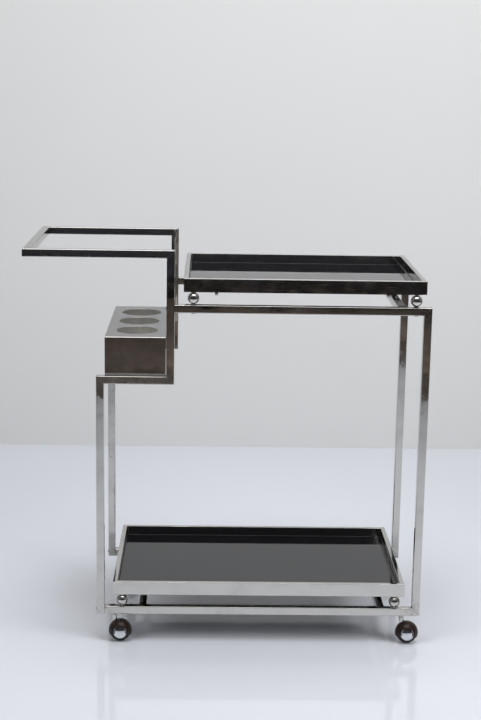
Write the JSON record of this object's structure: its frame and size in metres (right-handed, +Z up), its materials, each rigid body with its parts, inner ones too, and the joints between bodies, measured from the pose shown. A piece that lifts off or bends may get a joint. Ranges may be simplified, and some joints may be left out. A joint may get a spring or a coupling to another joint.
{
  "type": "bar cart",
  "caption": "Wheeled bar cart: square chromed tube frame with a push handle, black glass trays on ball spacers, a bottle box and hooded ball castors.",
  "frame": {"origin": "on the floor under the middle of the cart's overall box", "axes": "+X from the push handle to the far legs, +Y from the front side frame to the back one, +Z up"},
  "size_m": [0.863, 0.4218, 0.868],
  "materials": {
    "chrome_tube": "mirror chrome",
    "polished_sheet": "polished steel",
    "black_glass": "opaque black float glass",
    "castor_shell": "dark brown gloss",
    "tread": "matt black",
    "screw_steel": "dull steel"
  },
  "bodies": {
    "cart_frame": {"handle_bar_front": "chrome_tube", "handle_bar_back": "chrome_tube", "post_front": "chrome_tube", "post_back": "chrome_tube", "shelf_bar_front": "chrome_tube", "shelf_bar_back": "chrome_tube", "left_leg_front": "chrome_tube", "left_leg_back": "chrome_tube", "top_rail_front": "chrome_tube", "top_rail_back": "chrome_tube", "right_leg_front": "chrome_tube", "right_leg_back": "chrome_tube", "lower_rail_front": "chrome_tube", "lower_rail_back": "chrome_tube", "handle_cross_bar": "chrome_tube", "upper_cross_bar": "chrome_tube", "lower_cross_bar_left": "chrome_tube", "lower_cross_bar_right": "chrome_tube", "post_bolt_front": "chrome_tube", "post_bolt_back": "chrome_tube", "leg_bolt_front": "chrome_tube", "leg_bolt_back": "chrome_tube", "upper_tray_rim": "polished_sheet", "lower_tray_rim": "polished_sheet", "bottle_box_shell": "polished_sheet", "bottle_box_base": "polished_sheet", "upper_glass": "black_glass", "lower_glass": "black_glass", "ball_spacer_upper_front_left": "chrome_tube", "ball_spacer_upper_front_right": "chrome_tube", "ball_spacer_upper_back_left": "chrome_tube", "ball_spacer_upper_back_right": "chrome_tube", "ball_spacer_lower_front_left": "chrome_tube", "ball_spacer_lower_front_right": "chrome_tube", "ball_spacer_lower_back_left": "chrome_tube", "ball_spacer_lower_back_right": "chrome_tube", "tray_screw_upper_front_left": "screw_steel", "tray_screw_upper_front_right": "screw_steel", "tray_screw_upper_back_left": "screw_steel", "tray_screw_upper_back_right": "screw_steel", "tray_screw_lower_front_left": "screw_steel", "tray_screw_lower_front_right": "screw_steel", "tray_screw_lower_back_left": "screw_steel", "tray_screw_lower_back_right": "screw_steel"},
    "castor_front_left": {"castor_stem_front_left": "chrome_tube", "castor_hood_front_left": "castor_shell", "castor_axle_front_left": "chrome_tube"},
    "wheel_front_left": {"castor_wheel_front_left": "tread"},
    "castor_front_right": {"castor_stem_front_right": "chrome_tube", "castor_hood_front_right": "castor_shell", "castor_axle_front_right": "chrome_tube"},
    "wheel_front_right": {"castor_wheel_front_right": "tread"},
    "castor_back_left": {"castor_stem_back_left": "chrome_tube", "castor_hood_back_left": "castor_shell", "castor_axle_back_left": "chrome_tube"},
    "wheel_back_left": {"castor_wheel_back_left": "tread"},
    "castor_back_right": {"castor_stem_back_right": "chrome_tube", "castor_hood_back_right": "castor_shell", "castor_axle_back_right": "chrome_tube"},
    "wheel_back_right": {"castor_wheel_back_right": "tread"}
  },
  "joints": [
    {"name": "swivel_front_left", "type": "hinge", "parent": "cart_frame", "child": "castor_front_left", "pos_m": [-0.24, -0.1885, 0.0235], "axis": [0, 0, 1], "continuous": true},
    {"name": "spin_front_left", "type": "hinge", "parent": "castor_front_left", "child": "wheel_front_left", "pos_m": [-0.22731, -0.1885, 0.0235], "axis": [0, 1, 0], "continuous": true},
    {"name": "swivel_front_right", "type": "hinge", "parent": "cart_frame", "child": "castor_front_right", "pos_m": [0.393, -0.1885, 0.0235], "axis": [0, 0, 1], "continuous": true},
    {"name": "spin_front_right", "type": "hinge", "parent": "castor_front_right", "child": "wheel_front_right", "pos_m": [0.40569, -0.1885, 0.0235], "axis": [0, 1, 0], "continuous": true},
    {"name": "swivel_back_left", "type": "hinge", "parent": "cart_frame", "child": "castor_back_left", "pos_m": [-0.24, 0.1885, 0.0235], "axis": [0, 0, 1], "continuous": true},
    {"name": "spin_back_left", "type": "hinge", "parent": "castor_back_left", "child": "wheel_back_left", "pos_m": [-0.22731, 0.1885, 0.0235], "axis": [0, 1, 0], "continuous": true},
    {"name": "swivel_back_right", "type": "hinge", "parent": "cart_frame", "child": "castor_back_right", "pos_m": [0.393, 0.1885, 0.0235], "axis": [0, 0, 1], "continuous": true},
    {"name": "spin_back_right", "type": "hinge", "parent": "castor_back_right", "child": "wheel_back_right", "pos_m": [0.40569, 0.1885, 0.0235], "axis": [0, 1, 0], "continuous": true}
  ]
}
